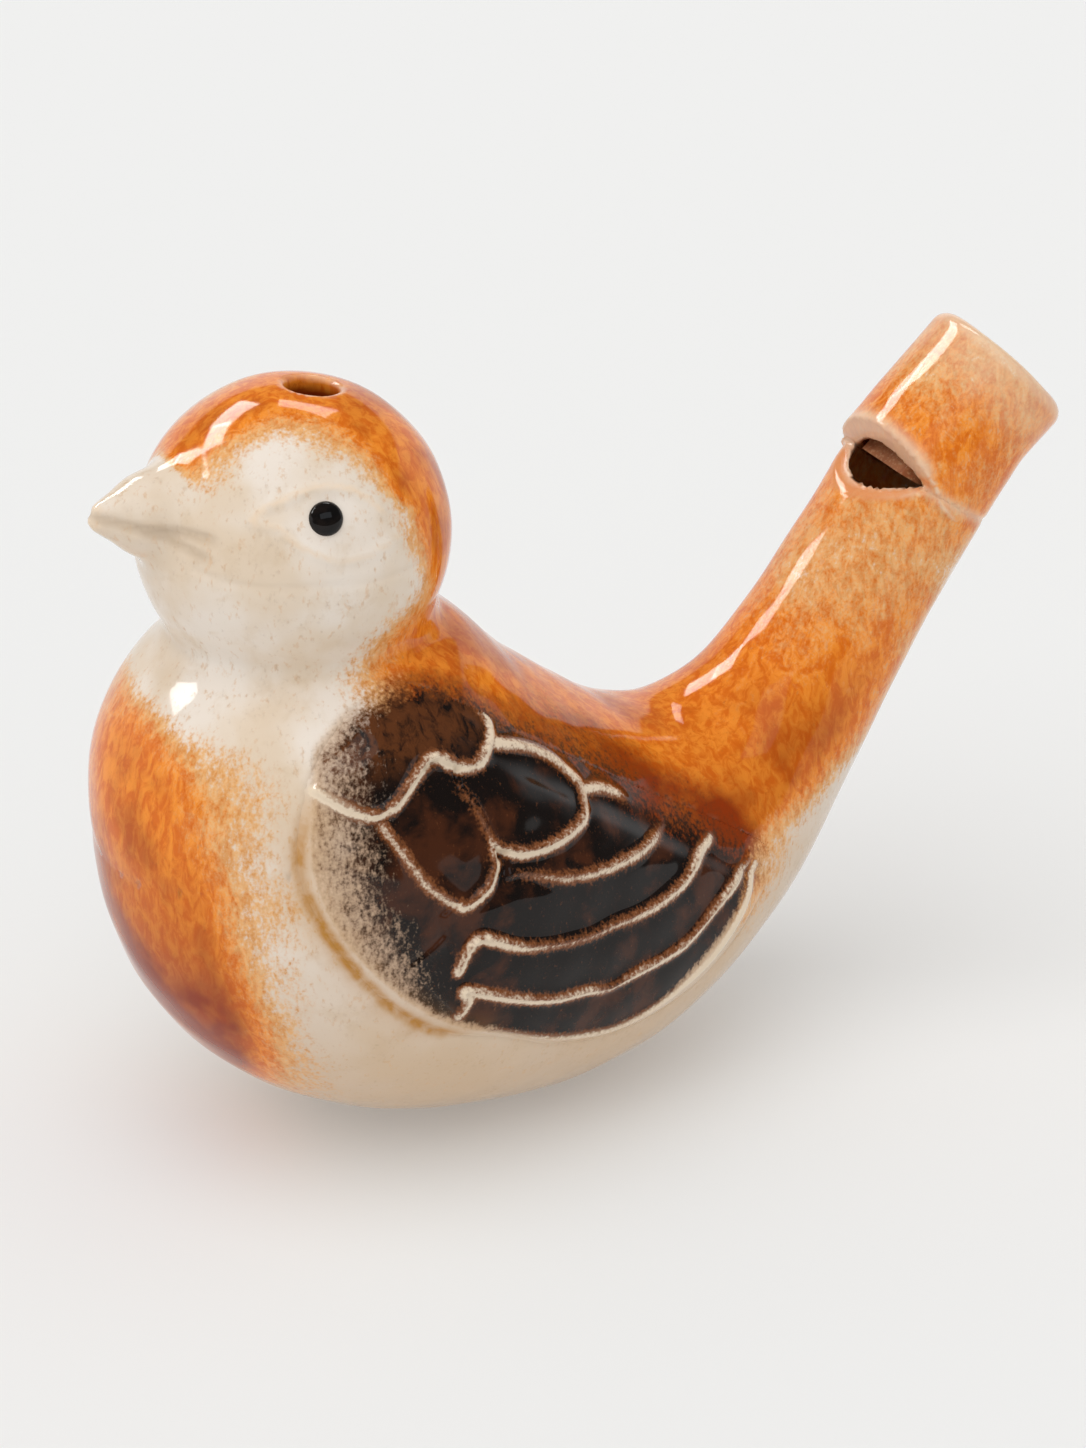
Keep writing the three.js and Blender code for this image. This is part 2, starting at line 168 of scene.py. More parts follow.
def colour(red, green, blue):
    """A colour as it is seen on a screen, from 0 to 255, in the linear values that shaders use."""
    linear = [
        v / 12.92 if v <= 0.04045 else ((v + 0.055) / 1.055) ** 2.4
        for v in (red / 255, green / 255, blue / 255)
    ]
    return (*linear, 1.0)


def new_material(name):
    """A material without nodes, and the node tree to write it in."""
    material = bpy.data.materials.new(name)
    material.use_nodes = True
    material.node_tree.nodes.clear()
    return material, Nodes(material.node_tree)


backdrop_colour = colour(240, 240, 238)
table_half = 3.0
table_mesh = bpy.data.meshes.new("table_top")
table_mesh.from_pydata(
    [(table_half * x, table_half * y, 0) for x, y in ((-1, -1), (1, -1), (1, 1), (-1, 1))],
    [], [(0, 1, 2, 3)])
table = new_object("table_top", table_mesh)
table_material, nodes = new_material("white_table")
nodes.surface({
    "Base Color": colour(211, 211, 210), "Roughness": 0.9, "Specular IOR Level": 0.0,
    "Emission Color": colour(240, 240, 239), "Emission Strength": 0.24})
table_mesh.materials.append(table_material)

room_light = 0.62
dark_side = 0.15  # how bright the glaze mirrors the room's dark side, against 1
world = bpy.data.worlds.new("studio")
world.use_nodes = True
world.node_tree.nodes.clear()
bpy.context.scene.world = world
nodes = Nodes(world.node_tree)
camera_ray = nodes.add("ShaderNodeLightPath", {}, {}, output="Is Camera Ray")
glossy_ray = Value(nodes, camera_ray.socket.node.outputs["Is Glossy Ray"])
direction = nodes.add("ShaderNodeTexCoord", {}, {}, output="Generated")
up = nodes.add("ShaderNodeSeparateXYZ", {}, {0: direction}, output="Z")
back = Value(nodes, up.socket.node.outputs["Y"])
low_and_behind = (1 - up.rise(0.30, 0.34)) * back.rise(-0.3, 0.2)
mirrored_room = dark_side + (1 - dark_side) * low_and_behind
seen = nodes.blend(glossy_ray, (room_light,) * 3 + (1,), (1.0, 1.0, 1.0, 1.0))
strength = nodes.add(
    "ShaderNodeMix", {"data_type": "FLOAT"}, {0: glossy_ray, 2: 1.0, 3: mirrored_room}
)
seen = nodes.blend(camera_ray, seen, backdrop_colour)
strength = nodes.add("ShaderNodeMix", {"data_type": "FLOAT"}, {0: camera_ray, 2: strength, 3: 1.0})
sky = nodes.add("ShaderNodeBackground", {}, {"Color": seen, "Strength": strength})
nodes.add("ShaderNodeOutputWorld", {}, {"Surface": sky})

lamp_distance = 1.3
lamp_centre = Vector((0, 0, 0.03))


def soft_box(name, turn, height, width_angle, height_angle, radiance, tint=(1, 1, 1)):
    """A rectangular lamp that only gloss mirrors, at a turn, height and size in degrees."""
    lamp = bpy.data.lights.new(name, "AREA")
    lamp.shape = "RECTANGLE"
    lamp.size = 2 * lamp_distance * math.tan(math.radians(width_angle / 2))
    lamp.size_y = 2 * lamp_distance * math.tan(math.radians(height_angle / 2))
    lamp.energy = radiance * math.pi * lamp.size * lamp.size_y
    lamp.color = tint
    box = new_object(name, lamp)
    box.location = lamp_centre + toward(turn, height) * lamp_distance
    aim(box, toward(turn, height))
    box.visible_diffuse = False


soft_box("soft_box_left", -147, 41.5, 17, 12, 18.0)
soft_box("soft_box_low", -127, 33, 17, 9, 15.0)
soft_box("soft_box_front", -5, 42, 46, 22, 1.0, (0.85, 0.93, 1.0))
soft_box("soft_box_back", -170, 42, 22, 15, 12.0)
soft_box("soft_box_right", 143, 51, 22, 12, 7.0)
sun = bpy.data.lights.new("key_light", "SUN")
sun.energy = 1.35
sun.angle = math.radians(60)
key_light = new_object("key_light", sun)
aim(key_light, Vector((-0.35, -0.15, 0.92)))
key_light.visible_glossy = False


# Glazed body
# A hollow earthenware bird, pressed in two half moulds that are luted together and glazed over.
# A filling hole is bored in the crown and a window is cut by hand through the top of the tail.
# Sizes are in millimetres until a mesh is made.

# x, z, outer radius and hollow radius of the balls that the body is strung from
body_path = np.array([
    [-16.8, 31.5, 18.7, 16.2],
    [-11.8, 23.2, 21, 18.5],
    [2.8, 17, 17.6, 15.1],
    [16.1, 18.5, 12.6, 10.1],
    [26.2, 25.6, 8.7, 6.4],
    [34.6, 37, 7.2, 5.8],
    [41.2, 46.4, 7.05, 5.9],
    [43.5, 49.67, 7, 5.9],
])
width_ratio = 0.96
head_centre = np.array([-18.0, 0, 54.6])
head_radius = 12.8
head_wall = 2.5
beak_root = np.array([-25.0, 0, 57.45])
beak_middle = np.array([-30.4, 0, 58.6])
beak_tip = np.array([-34.35, 0, 59.2])
beak_radii = (6.0, 3.4, 1.3)
beak_squeeze = 0.9
tail_end = np.array([41.2, 0, 46.4])
tail_along = np.array([0.5746, 0, 0.8184])
tail_inward = np.array([-0.8184, 0, 0.5746])
tube_start = np.array([40.054, 0, 47.204])
tube_axis = np.array([0.7408, 0, 0.6717])
tube_radius = 6.9
tube_length = 13.3
tube_rim = 1.2
tube_root = -0.4  # where the tube's clay begins, along the tail
bore_radius = 4.6
bore_root = 0.4
joint_at = 0.3
joint_groove, joint_groove_width = 0.13, 0.3
wing_seat = 0.6

# Places and slopes of the window's upper lip and of its cut ramp
lip_at, lip_inward, lip_slope, lip_turn, lip_scale = 0.62, 4.4, 0.64, 0.13, 1.194
ramp_at, ramp_ahead, ramp_slope, ramp_turn, ramp_scale = 7.05, 3.1, 0.9, 0.12, 1.35
overhang_scale = 1.19
window_reach = 14

# How far the rounding between two forms reaches
neck_blend, beak_blend, beak_bend_blend, tube_blend = 3.0, 1.1, 0.5, 0.8
hole_blend, window_blend, edge_blend, foot_blend = 0.7, 0.4, 0.35, 0.3


def rounded_path(rows, steps):
    """Rows of numbers joined by a curve that passes through each of them."""
    ends = np.vstack([2 * rows[0] - rows[1], rows, 2 * rows[-1] - rows[-2]])
    share = np.linspace(0, 1, steps, endpoint=False)[:, None]
    pieces = []
    for a, b, c, d in zip(ends, ends[1:], ends[2:], ends[3:]):
        pieces.append(0.5 * (
            2 * b + (c - a) * share + (2 * a - 5 * b + 4 * c - d) * share ** 2
            + (3 * b - a - 3 * c + d) * share ** 3
        ))
    return np.vstack(pieces + [rows[-1:]])


def soft_min(a, b, blend):
    """The lesser of two gaps, rounded where they differ by less than blend."""
    share = np.clip(0.5 + 0.5 * (b - a) / blend, 0, 1)
    return b * (1 - share) + a * share - blend * share * (1 - share)


def soft_max(a, b, blend):
    return -soft_min(-a, -b, blend)


def smooth(values, start, end):
    """0 before start, 1 past end and a smooth rise between them."""
    share = np.clip((values - start) / (end - start), 0, 1)
    return share * share * (3 - 2 * share)


def chain_gap(points, balls, radius_column):
    """How far points lie outside a string of balls; the best one is sought in steps."""
    side = (points[:, 1] / width_ratio) ** 2

    def gap(row):
        ball = balls[row]
        return np.sqrt(
            (points[:, 0] - ball[..., 0]) ** 2 + (points[:, 2] - ball[..., 1]) ** 2 + side
        ) - ball[..., radius_column]

    best = np.full(len(points), np.inf)
    at = np.zeros(len(points), int)
    for row in range(3, len(balls) - 3, 6):
        trial = gap(row)
        at = np.where(trial < best, row, at)
        best = np.minimum(best, trial)
    for turn in (-3, 3, -2, 2, -1, 1):
        row = np.clip(at + turn, 0, len(balls) - 1)
        trial = gap(row)
        at = np.where(trial < best, row, at)
        best = np.minimum(best, trial)
    inner = np.clip(at, 1, len(balls) - 2)
    before, here, after = gap(inner - 1), gap(inner), gap(inner + 1)
    bend = np.maximum(before + after - 2 * here, 1e-9)
    between = here - (after - before) ** 2 / (8 * bend)
    return np.where(inner == at, np.minimum(best, between), best)


def cone_gap(points, root, tip, radii, squeeze):
    """How far points lie outside a cone with round ends, made narrower sideways by squeeze."""
    stretch = np.array([1, 1 / squeeze, 1])
    away = (points - root) * stretch
    axis = (tip - root) * stretch
    length = np.linalg.norm(axis)
    along = away @ axis / length
    across = np.sqrt(np.maximum((away ** 2).sum(1) - along ** 2, 0))
    slope = (radii[0] - radii[1]) / length
    flat = math.sqrt(1 - slope ** 2)
    share = np.clip((along - across * slope / flat) / length, 0, 1)
    return np.hypot(along - share * length, across) - radii[0] - share * (radii[1] - radii[0])


def polyline_distance(points, line):
    """Least distance from points to a line of joined straight pieces."""
    nearest = np.full(len(points), np.inf)
    for a, b in zip(line, line[1:]):
        run = b - a
        share = np.clip((points - a) @ run / (run @ run), 0, 1)
        offset = points - a - share[:, None] * run
        nearest = np.minimum(nearest, (offset ** 2).sum(1))
    return np.sqrt(nearest)


def inside_distance(points, outline):
    """Distance to a closed outline, above nought for points inside it."""
    closed = np.vstack([outline, outline[:1]])
    inside = np.zeros(len(points), bool)
    for (ax, az), (bx, bz) in zip(closed, closed[1:]):
        spans = (az > points[:, 1]) != (bz > points[:, 1])
        if az != bz:
            inside ^= spans & (points[:, 0] < (bx - ax) * (points[:, 1] - az) / (bz - az) + ax)
    return np.where(inside, 1, -1) * polyline_distance(points, closed)


# The wing's outline on the flank, as x and z seen from the side
wing_outline = rounded_path(np.array([
    [-19.5, 44.6], [-14.5, 45.4], [-9.5, 42.8], [-4.5, 38.8], [1.5, 34.6], [8.5, 29.6],
    [15, 25.4], [20.9, 20.6], [19.2, 15.8], [14.5, 12.1], [9, 10.1], [3, 9.7],
    [-3.5, 11.3], [-9, 14.2], [-15, 16.6], [-20.7, 21.8], [-24.7, 28.5], [-25.8, 34.3],
    [-23.8, 40.6], [-19.5, 44.6],
]), 6)[:-1]

# How far inside the wing's outline a point of the flank lies, kept on a grid of x and z
cover_step = 0.5
cover_x = np.arange(-32, 30, cover_step)
cover_z = np.arange(2, 56, cover_step)
cover_grid = inside_distance(
    np.stack(np.meshgrid(cover_x, cover_z, indexing="ij"), -1).reshape(-1, 2), wing_outline
).reshape(len(cover_x), len(cover_z))


def wing_cover(points):
    """How far inside the wing's outline points lie, read from the grid."""
    column = np.clip((points[:, 0] - cover_x[0]) / cover_step, 0, len(cover_x) - 1.001)
    row = np.clip((points[:, 2] - cover_z[0]) / cover_step, 0, len(cover_z) - 1.001)
    i, j = column.astype(int), row.astype(int)
    a, b = column - i, row - j
    return (
        cover_grid[i, j] * (1 - a) * (1 - b) + cover_grid[i + 1, j] * a * (1 - b)
        + cover_grid[i, j + 1] * (1 - a) * b + cover_grid[i + 1, j + 1] * a * b
    )


# Lines that the modeller's tool left: depth, half width, then x, y and z on the left side
tool_lines = [
    (0.28, 0.5, [(-35.1, -1.1, 59.5), (-33, -2.2, 58.9), (-31.7, -2.9, 58.6), (-30.4, -3.9, 58.4),
        (-29.2, -5.2, 58.4), (-28.2, -6.6, 58.5)]),
    (0.2, 0.55, [(-31.9, -2.8, 58.4), (-30.5, -3.7, 58), (-29.5, -5, 57.5), (-28.8, -6.3, 57.1)]),
    (-0.2, 0.5, [(-25.3, -8.7, 60.6), (-24.4, -8.8, 61.3), (-23.3, -9.2, 61.8), (-22.2, -9.4, 62.2),
        (-20.6, -9.6, 62.6), (-18.9, -10, 62.5), (-17.5, -10.4, 62.1), (-16.4, -10.8, 61.3),
        (-15.5, -11.2, 60.2)]),
    (-0.16, 0.5, [(-25.2, -9, 60.2), (-23.7, -10.1, 60.1), (-23.2, -10.7, 59.3),
        (-22.5, -11.3, 58.6), (-21.5, -11.8, 58), (-20.2, -12.3, 57.4), (-18.7, -12.5, 57.2),
        (-17.1, -12.5, 57.3), (-15.5, -12.2, 57.7), (-14.5, -11.8, 57.9)]),
    (0.22, 1.3, [(-28.9, 1.4, 46.6), (-27.3, -5.9, 47.4), (-22.4, -10.2, 47.3),
        (-15.8, -11.1, 47.1), (-9.1, -8.4, 46.3), (-5.5, -5, 46.5)]),
    (0.09, 0.35, [(-29.3, -5.8, 56), (-27.6, -8.4, 55.5), (-25.1, -10.7, 55.3),
        (-21.5, -12.3, 55.3), (-17.3, -12.8, 55.1), (-14.5, -12.3, 55), (-11.3, -10.9, 54.9)]),
]
mouth_lines = 2  # the first ones, cut right through the beak's sides
eye_centre = np.array([-20.04, -10.49, 60.16])
eye_toward = (eye_centre - head_centre) / np.linalg.norm(eye_centre - head_centre)
eye_dip, eye_dip_width = 0.24, 2.4
hole_x, hole_radius, hole_floor = -16.0, 2.15, 60
hole_dip, hole_dip_width = 0.22, 3.2


def hand_work(points):
    """Small unevenness of a hand-finished surface, above nought where clay is taken away."""
    x, y, z = points.T
    amount = 0.05 * np.sin(0.43 * x + 0.31 * z + 0.4) * np.cos(0.37 * y - 0.29 * z + 1.1)
    amount += 0.035 * np.sin(0.81 * z - 0.54 * x + 2.3) * np.sin(0.66 * y + 0.48 * x)
    face = (x < -3) & (z > 42)
    near = np.stack([x, -np.abs(y), z], 1)[face]
    work = np.zeros(len(near))
    for number, (depth, half_width, line) in enumerate(tool_lines):
        axes = [0, 2] if number < mouth_lines else [0, 1, 2]
        distance = polyline_distance(near[:, axes], np.array(line)[:, axes])
        work += depth * np.exp(-(distance / half_width) ** 2)
    eye_distance = np.linalg.norm(near - eye_centre, axis=1)
    work += eye_dip * np.exp(-(eye_distance / eye_dip_width) ** 2)
    amount[face] += work
    return amount


def tail_place(points):
    """How far points lie ahead of the tail's end, and inward in the tail's bend from its axis."""
    tail = points - tail_end
    return tail @ tail_along, tail @ tail_inward


def tube_place(points):
    """How far points lie along the mouthpiece tube from its start, and across from its axis."""
    tube = points - tube_start
    along = tube @ tube_axis
    return along, np.sqrt(np.maximum((tube ** 2).sum(1) - along ** 2, 0))


def window_place(points):
    """How far points lie past the window's upper lip, and above the ramp cut in the tail."""
    ahead, inward = tail_place(points)
    y = points[:, 1]
    lip = (ahead - lip_at + lip_turn * y - lip_slope * (inward - lip_inward)) / lip_scale
    ramp = (inward - ramp_at + ramp_slope * (ahead + ramp_ahead) - ramp_turn * y) / ramp_scale
    return lip, ramp


def outer_gap(points, fine):
    """How far points lie outside the clay, before it is hollowed and cut."""
    x, y, z = points.T
    gap = soft_min(
        chain_gap(points, body_balls, 2),
        np.linalg.norm(points - head_centre, axis=1) - head_radius,
        neck_blend,
    )
    beak = soft_min(
        cone_gap(points, beak_root, beak_middle, beak_radii[:2], beak_squeeze),
        cone_gap(points, beak_middle, beak_tip, beak_radii[1:], beak_squeeze),
        beak_bend_blend,
    )
    gap = soft_min(gap, beak, beak_blend)
    along, across = tube_place(points)
    side, end = across - tube_radius + tube_rim, along - tube_length + tube_rim
    tube_gap = np.hypot(np.maximum(side, 0), np.maximum(end, 0)) + np.minimum(
        np.maximum(side, end), 0) - tube_rim
    ahead, inward = tail_place(points)
    overhang = lip_at - lip_turn * y + lip_slope * (inward - lip_inward)
    tube_gap = np.maximum(tube_gap, (np.maximum(overhang, tube_root) - ahead) / overhang_scale)
    gap = soft_min(gap, tube_gap, tube_blend)
    if fine:
        gap += hand_work(points)
        dip = np.exp(-(np.hypot(x - hole_x, y) / hole_dip_width) ** 2)
        gap += hole_dip * dip * (z > hole_floor)
    return gap


def clay_gap(points, fine=True):
    """How far points lie outside the finished clay, hollowed and cut."""
    x, y, z = points.T
    ahead = tail_place(points)[0]
    lip, ramp = window_place(points)
    hollow = soft_min(
        chain_gap(points, body_balls, 3),
        np.linalg.norm(points - head_centre, axis=1) - head_radius + head_wall,
        neck_blend,
    )
    hollow = np.maximum(hollow, ahead - lip_at + lip_turn * y)
    bore = np.maximum(tube_place(points)[1] - bore_radius, bore_root - ahead)
    gap = outer_gap(points, fine)
    gap = gap + wing_seat * smooth(wing_cover(points), 0.0, 1.4) * (np.abs(y) > 5)
    gap = soft_max(gap, -np.minimum(hollow, bore), edge_blend)
    hole = np.maximum(np.hypot(x - hole_x, y) - hole_radius, hole_floor - z)
    gap = soft_max(gap, -hole, hole_blend)
    notch = np.maximum(soft_max(-ramp, lip, window_blend), -window_reach - ahead)
    gap = gap + joint_groove * np.exp(-((ahead - joint_at) / joint_groove_width) ** 2)
    gap = soft_max(gap, -notch, edge_blend)
    return soft_max(gap, -z, foot_blend)


def gradient(gap_at, points, step=0.03):
    """The slope of a gap function at each point."""
    return np.stack([
        (gap_at(points + offset) - gap_at(points - offset)) / (2 * step)
        for offset in np.eye(3) * step], 1)


draw_steps, longest_draw, touching = 4, 0.25, 0.03


def skin(gap_at, rough_gap_at, xs, ys, zs):
    """Points, four-sided faces and normals of the surface where a gap function is nought.
    One point lies in each cell of the grid that the surface crosses, and is then drawn onto it."""
    grid = np.stack(np.meshgrid(xs, ys, zs, indexing="ij"), -1)
    gap = rough_gap_at(grid.reshape(-1, 3)).reshape(grid.shape[:3])
    solid = gap < 0
    total = np.zeros((gap.size, 3))
    count = np.zeros(gap.size)
    quads = []
    strides = np.array([gap.shape[1] * gap.shape[2], gap.shape[2], 1])
    for axis in range(3):
        near, far = [slice(None)] * 3, [slice(None)] * 3
        near[axis], far[axis] = slice(0, -1), slice(1, None)
        near, far = tuple(near), tuple(far)
        rows = np.argwhere(solid[near] != solid[far])
        at = tuple(rows.T)
        a, b = gap[near][at], gap[far][at]
        start, end = grid[near][at], grid[far][at]
        crossing = start + (a / (a - b))[:, None] * (end - start)
        first, second = strides[(axis + 1) % 3], strides[(axis + 2) % 3]
        cell = rows @ strides
        ring = np.stack([cell - first - second, cell - second, cell, cell - first], 1)
        for corner in ring.T:
            np.add.at(total, corner, crossing)
            np.add.at(count, corner, 1)
        outward = solid[near][at]
        quads.append(np.where(outward[:, None], ring, ring[:, ::-1]))
    used = np.flatnonzero(count)
    number = np.zeros(gap.size, int)
    number[used] = np.arange(len(used))
    points = total[used] / count[used][:, None]
    for _ in range(draw_steps):
        slope = gradient(gap_at, points)
        size = np.maximum((slope ** 2).sum(1), 0.2)
        move = -(gap_at(points) / size)[:, None] * slope
        reach = np.linalg.norm(move, axis=1, keepdims=True)
        points = points + move * np.minimum(1, longest_draw / np.maximum(reach, 1e-9))
    slope = gradient(gap_at, points)
    on_clay = np.abs(clay_gap(points)) < touching
    slope[on_clay] = gradient(clay_gap, points[on_clay])
    normals = slope / np.maximum(np.linalg.norm(slope, axis=1, keepdims=True), 1e-9)
    return points, number[np.vstack(quads)], normals


def spaced(stops):
    """Grid lines through (position, step) stops; a step holds up to the next position."""
    lines = []
    for (start, step), (end, _) in zip(stops, stops[1:]):
        lines.append(np.linspace(start, end, max(1, round((end - start) / step)), endpoint=False))
    return np.concatenate(lines + [[stops[-1][0]]])


# Where each colour was sprayed, from 0 to 1
back_outline = rounded_path(np.array([
    [-8.6, 47.5], [-12, 45.6], [-13, 40], [0, 28], [12, 21], [18.5, 17.4],
    [20.8, 20], [23, 22.8], [26.4, 26.9], [29.2, 31.6], [31.9, 36.5], [34.2, 40.6],
    [36.5, 44.6], [40, 47.6], [44.5, 51.6], [49.5, 56.4], [46, 75], [20, 70], [-2, 60],
]), 4)
breast_edge = np.array([[-22, 3], [-23.9, 9], [-25.4, 13.6], [-27, 19.8], [-28.3, 24.8],
                        [-29.2, 30.1], [-30.2, 35.1], [-30.6, 39.4], [-31.4, 43], [-33, 48]])
crown_width = np.array([[-29, 0.6], [-28, 1], [-25, 1.8], [-22, 3], [-19, 4.2], [-17, 5.6],
                        [-15.8, 6.8], [-14.4, 8.4], [-13.4, 10.5], [-12, 14]])
nape_edge = np.array([[44, -7.4], [47.5, -8.8], [51.9, -10.8], [55.3, -12.3], [58, -13],
                      [60.3, -13.3], [62.5, -13.6], [68, -13.9]])


def orange_spray(points):
    x, y, z = points.T
    past = np.interp(z, breast_edge[:, 1], breast_edge[:, 0]) - x
    breast = np.clip(0.5 + np.where(past > 0, past / 7, past / 12), 0, 1) - smooth(z, 41, 49)
    width = np.interp(x, crown_width[:, 0], crown_width[:, 1])
    behind_head = smooth(x, -5, 0)
    across = np.maximum(-y, (0.3 + 0.7 * smooth(x, -27, -21)) * y)
    crown = np.clip(0.5 + (width + 2.0 - across) / 7.5, 0, 1)
    crown = crown - smooth(z, 62, 56) - behind_head - smooth(x, -27.5, -30)
    nape = np.clip(0.5 + (x - np.interp(z, nape_edge[:, 0], nape_edge[:, 1])) / 5, 0, 1)
    nape = nape - smooth(z, 49, 46) - behind_head
    flank = inside_distance(np.stack([x, z], 1), back_outline)
    on_tail = smooth(x, 14, 22)
    # The tail's underside keeps more orange: partly its deeper spray, partly painted shade. The
    # upper tail is paler: partly a real tan, partly a painted reflection.
    under = smooth(tail_place(points)[1], 0, -5) * smooth(z, 48, 42)
    paler_with_sheen = 0.35 * smooth(z, 24, 42) - 0.22 * under
    back_part = np.minimum(
        0.5 + 0.5 * smooth(z, 19, 28) + flank / (9 + 4 * on_tail), 1 - on_tail * paler_with_sheen)
    return np.clip(np.max([breast, crown, nape, back_part], axis=0), 0, 1)


# The sprayed umber: outline as x and z; it fades out towards the breast and the back
umber_outline = rounded_path(np.array([
    [-22, 41.5], [-19, 43.6], [-15.5, 44.8], [-12, 44.4], [-8.3, 42.4], [-4, 38.6], [0.8, 35.2],
    [5.8, 31.9], [9.5, 28], [14.5, 24.5], [17.9, 20.6], [16.2, 17.6], [12.4, 14.9], [7.8, 12.6],
    [4.5, 11.7], [1, 11.8], [-4.6, 13.4], [-10, 16.2], [-15, 19], [-20, 24],
    [-23, 29], [-24, 35], [-22, 41.5],
]), 4)[:-1]
groove = rounded_path(np.array([
    [-19, 44.6], [-21.8, 43], [-23.8, 39.1], [-25.3, 35.3], [-25.3, 31.3], [-22.9, 25.6],
    [-18.8, 20], [-14.9, 16.8], [-12.3, 15.6]]), 4)


def umber_spray(points):
    x, y, z = points.T
    depth = inside_distance(points[:, [0, 2]], umber_outline)
    left = 0.5 + (x + 21.6 - 0.4 * np.maximum(30 - z, 0)) / 10.5
    upper = smooth(0.58 * x + 0.81 * z, 23.5, 27.0) * smooth(x, -8, 4)
    edge = 0.5 + depth / (1.4 + 1.4 * smooth(z, 36, 41) + 6.0 * upper)
    return np.clip(np.minimum(edge, left), 0, 1) * smooth(np.abs(y), 4, 7)


def ochre_stain(points):
    distance = polyline_distance(points[:, [0, 2]], groove)
    along = smooth(points[:, 2], 41, 33) * smooth(points[:, 2], 15.4, 17.0)
    pooled = np.exp(-(distance / 0.48) ** 2) + 0.34 * np.exp(-(distance / 1.7) ** 2)
    return np.minimum(pooled, 1) * along * (np.abs(points[:, 1]) > 8)


def bend(points, step=0.5):
    """How sharply the surface bends at each point, above nought on an outward edge."""
    total = -6 * clay_gap(points)
    for offset in np.eye(3) * step:
        total += clay_gap(points + offset) + clay_gap(points - offset)
    return total / step ** 2


def paint_masks(points):
    """All masks of a piece's points: inner is the clay's inside, thin its edges."""
    inner = smooth(-outer_gap(points, False), 0.85, 1.6)
    ahead, inward = tail_place(points)
    lip, ramp = window_place(points)
    lip_edge = 0.9 * np.exp(-(np.maximum(lip - 0.2, 0) / 0.7) ** 2)
    lip_edge = lip_edge * smooth(inward, 3.2, 4.6) * smooth(ahead, -1, 0)
    joint = 0.7 * np.exp(-((ahead - joint_at) / 0.5) ** 2) * smooth(inward, 4.5, 3.0)
    on_ramp = smooth(np.abs(ramp), 0.45, 0.2) * smooth(ahead, 0.6, 0.2)
    on_ramp = on_ramp * smooth(ahead, -6, -5) * smooth(inward, 3.6, 4.4)
    from_end = tube_length - tube_place(points)[0]
    tube_end = np.maximum(0.8 * smooth(from_end, 2.4, 0.5), 0.4 * smooth(from_end, 7, 2))
    # Painted shade along the mouth groove: how near each point lies to the first tool lines
    mouth_groove_shade = np.max([
        np.exp(-(polyline_distance(points[:, [0, 2]], np.array(line)[:, [0, 2]]) / half_width) ** 2)
        for _, half_width, line in tool_lines[:mouth_lines]], axis=0)
    return {
        "orange": orange_spray(points),
        "umber": umber_spray(points),
        "ochre": ochre_stain(points),
        "inner": inner,
        "ramp": on_ramp,
        "mouth_groove_shade": mouth_groove_shade,
        "thin": (1 - inner) * np.max(
            [smooth(bend(points), 0.9, 2.2), tube_end, lip_edge, joint], axis=0),
    }


def carry(mesh, masks):
    """Stores numbers on the points of a mesh, each row under its name."""
    for name, values in masks.items():
        layer = mesh.attributes.new(name, "FLOAT", "POINT")
        layer.data.foreach_set("value", np.array(values, np.float32))


def make_piece(name, points, faces, normals, masks):
    """A mesh object in metres from points in millimetres, with its masks as point attributes."""
    mesh = bpy.data.meshes.new(name)
    mesh.from_pydata((points / 1000).tolist(), [], faces.tolist())
    mesh.shade_smooth()
    carry(mesh, masks)
    if normals is not None:
        mesh.normals_split_custom_set_from_vertices(normals.tolist())
    return new_object(name, mesh)


